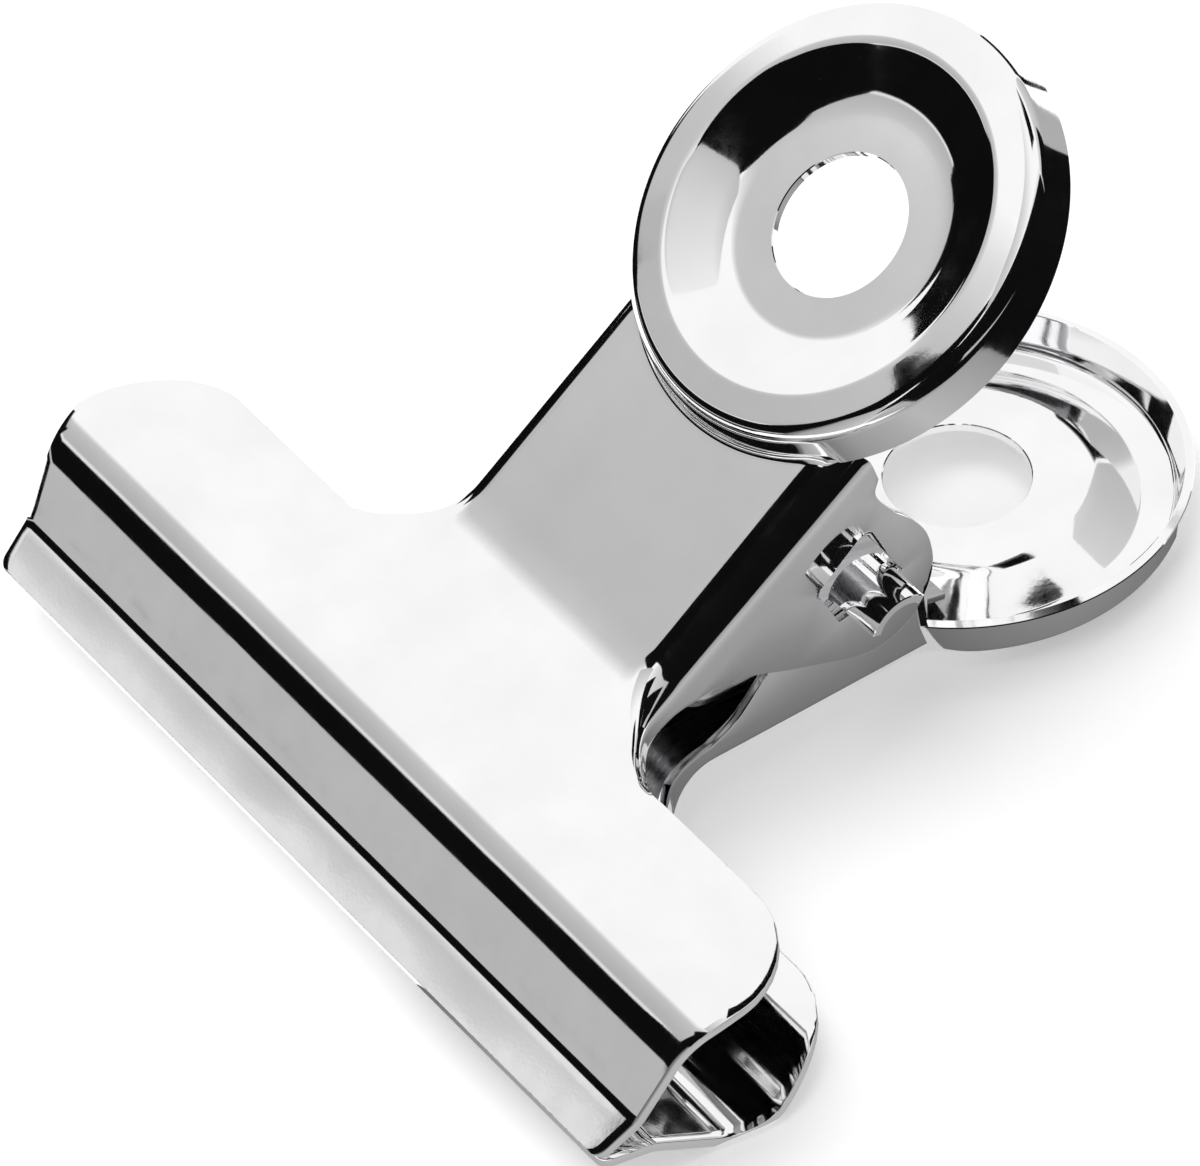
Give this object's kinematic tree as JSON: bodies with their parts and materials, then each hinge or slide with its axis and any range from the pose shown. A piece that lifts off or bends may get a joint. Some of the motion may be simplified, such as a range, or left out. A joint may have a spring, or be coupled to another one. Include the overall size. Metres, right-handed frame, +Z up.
{
  "type": "bulldog clip",
  "caption": "Spring clip with two wide pressed-metal jaws hinged on side lugs, round dished finger grips with holes, and a bent strip spring that keeps the mouth shut.",
  "frame": {"origin": "bottom centre of the bounding box, the clip lying on a table on its lower jaw and lower grip", "axes": "+X along the mouth and hinge line, +Y from the mouth to the grips, +Z up from the table"},
  "size_m": [0.0538, 0.0526, 0.03],
  "materials": {
    "plated_steel": "bright polished plating",
    "spring_steel": "plain rolled spring strip"
  },
  "bodies": {
    "lower": {"lower_jaw": "plated_steel", "spring": "spring_steel"},
    "upper": {"upper_jaw": "plated_steel"}
  },
  "joints": [
    {"name": "jaw_hinge", "type": "hinge", "parent": "lower", "child": "upper", "pos_m": [0, 0.00292, 0.0081], "axis": [-1, 0, 0], "range_deg": [0, 25], "stiffness_Nm_per_rad": 0.8, "springref_deg": -32.09, "deforming": ["spring"]}
  ]
}
